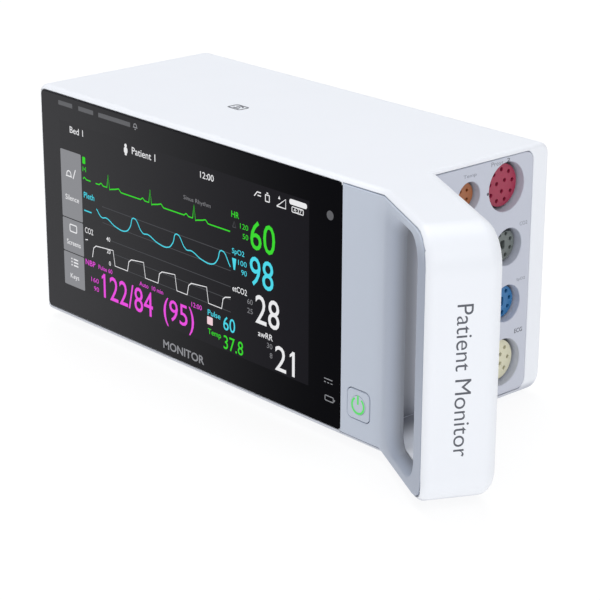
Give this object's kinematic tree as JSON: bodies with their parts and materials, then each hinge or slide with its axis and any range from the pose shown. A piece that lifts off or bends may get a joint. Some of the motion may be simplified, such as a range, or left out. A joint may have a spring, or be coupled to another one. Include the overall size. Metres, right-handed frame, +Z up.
{
  "type": "patient monitor",
  "caption": "Compact bedside and transport patient monitor: wide flat screen, angled carrying handle on the right, cable sockets in the side face behind it.",
  "frame": {"origin": "centre of the bounding box in plan, at the level the feet stand on", "axes": "+X to the right along the screen, +Y to the back (the screen faces -Y), +Z up"},
  "size_m": [0.249, 0.111, 0.097],
  "materials": {
    "housing_white": "satin white moulded plastic",
    "cover_grey": "light blue-grey moulded plastic",
    "panel_grey": "light grey moulded plastic",
    "screen_glass": "black-printed cover glass",
    "display": "liquid crystal display",
    "light_diffuser": "frosted light guide",
    "dark_plastic": "dark grey plastic",
    "rubber": "dark grey rubber",
    "circuit_board": "green glass-fibre board",
    "aluminium": "brushed",
    "steel": "zinc-plated",
    "brass": "plated contacts",
    "symbol_green": "lit green light guide",
    "tubing": "silicone tube",
    "socket_red": "coloured plastic insert",
    "socket_grey": "coloured plastic insert",
    "socket_blue": "coloured plastic insert",
    "socket_cream": "coloured plastic insert",
    "socket_brown": "coloured plastic insert"
  },
  "bodies": {
    "housing": {"main_housing": "housing_white", "front_cover": "cover_grey", "power_switch": "dark_plastic", "button_board": "circuit_board", "cover_glass": "screen_glass", "display_frame": "dark_plastic", "lcd_panel": "display", "backlight_unit": "light_diffuser", "alarm_lamp_1": "light_diffuser", "alarm_lamp_2": "light_diffuser", "alarm_lamp_3": "light_diffuser", "light_sensor": "dark_plastic", "chassis_plate": "aluminium", "main_board": "circuit_board", "board_screw_1": "steel", "board_screw_2": "steel", "board_screw_3": "steel", "board_screw_4": "steel", "processor_shield": "steel", "power_board": "circuit_board", "power_inductor": "dark_plastic", "wireless_antenna": "circuit_board", "connector_panel": "panel_grey", "pressure_socket": "socket_red", "gas_socket": "socket_grey", "oximetry_socket": "socket_blue", "ecg_socket": "socket_cream", "temperature_socket": "socket_brown", "cuff_air_port": "aluminium", "measurement_board": "circuit_board", "pump_body": "dark_plastic", "pump_motor": "steel", "air_tube": "tubing", "valve_block": "aluminium", "battery_sleeve": "panel_grey", "battery_contacts": "brass", "battery_eject_spring": "steel", "speaker": "dark_plastic", "quick_mount_plate": "dark_plastic", "mount_screw_1": "steel", "mount_screw_2": "steel", "mount_screw_3": "steel", "mount_screw_4": "steel", "mount_latch_spring": "steel", "link_connector": "dark_plastic", "link_cover_pin": "steel", "foot_1": "rubber", "foot_2": "rubber", "foot_3": "rubber", "foot_4": "rubber"},
    "power_key": {"power_button": "cover_grey", "power_light_guide": "symbol_green"},
    "battery": {"battery_pack": "dark_plastic"},
    "eject_key": {"battery_eject_button": "dark_plastic"},
    "catch_bar": {"battery_catch": "steel"},
    "mount_latch": {"mount_release_button": "cover_grey", "mount_pawl": "steel"},
    "link_flap": {"link_cover": "rubber"},
    "rotor": {"pump_rotor": "steel"}
  },
  "joints": [
    {"name": "power_key_press", "type": "slide", "parent": "housing", "child": "power_key", "axis": [0, 1, 0], "range_m": [0, 0.0009], "stiffness_N_per_m": 1200, "springref_m": -0.001},
    {"name": "battery_slide", "type": "slide", "parent": "housing", "child": "battery", "axis": [-1, 0, 0], "range_m": [0, 0.075]},
    {"name": "eject_key_press", "type": "slide", "parent": "housing", "child": "eject_key", "axis": [1, 0, 0], "range_m": [0, 0.0025], "stiffness_N_per_m": 800, "springref_m": -0.0015},
    {"name": "battery_catch_lift", "type": "slide", "parent": "housing", "child": "catch_bar", "axis": [0, 0, 1], "range_m": [0, 0.0015]},
    {"name": "mount_latch_slide", "type": "slide", "parent": "housing", "child": "mount_latch", "axis": [1, 0, 0], "range_m": [0, 0.004], "stiffness_N_per_m": 1000, "springref_m": -0.002},
    {"name": "link_flap_hinge", "type": "hinge", "parent": "housing", "child": "link_flap", "pos_m": [0.01629, 0.05312, 0.02], "axis": [0, 0, 1], "range_deg": [0, 110]},
    {"name": "pump_rotor_spin", "type": "hinge", "parent": "housing", "child": "rotor", "pos_m": [-0.00451, 0.02802, 0.02], "axis": [1, 0, 0], "continuous": true}
  ],
  "couplings": [
    {"joint": "battery_catch_lift", "follows": "eject_key_press", "ratio": 0.6}
  ]
}
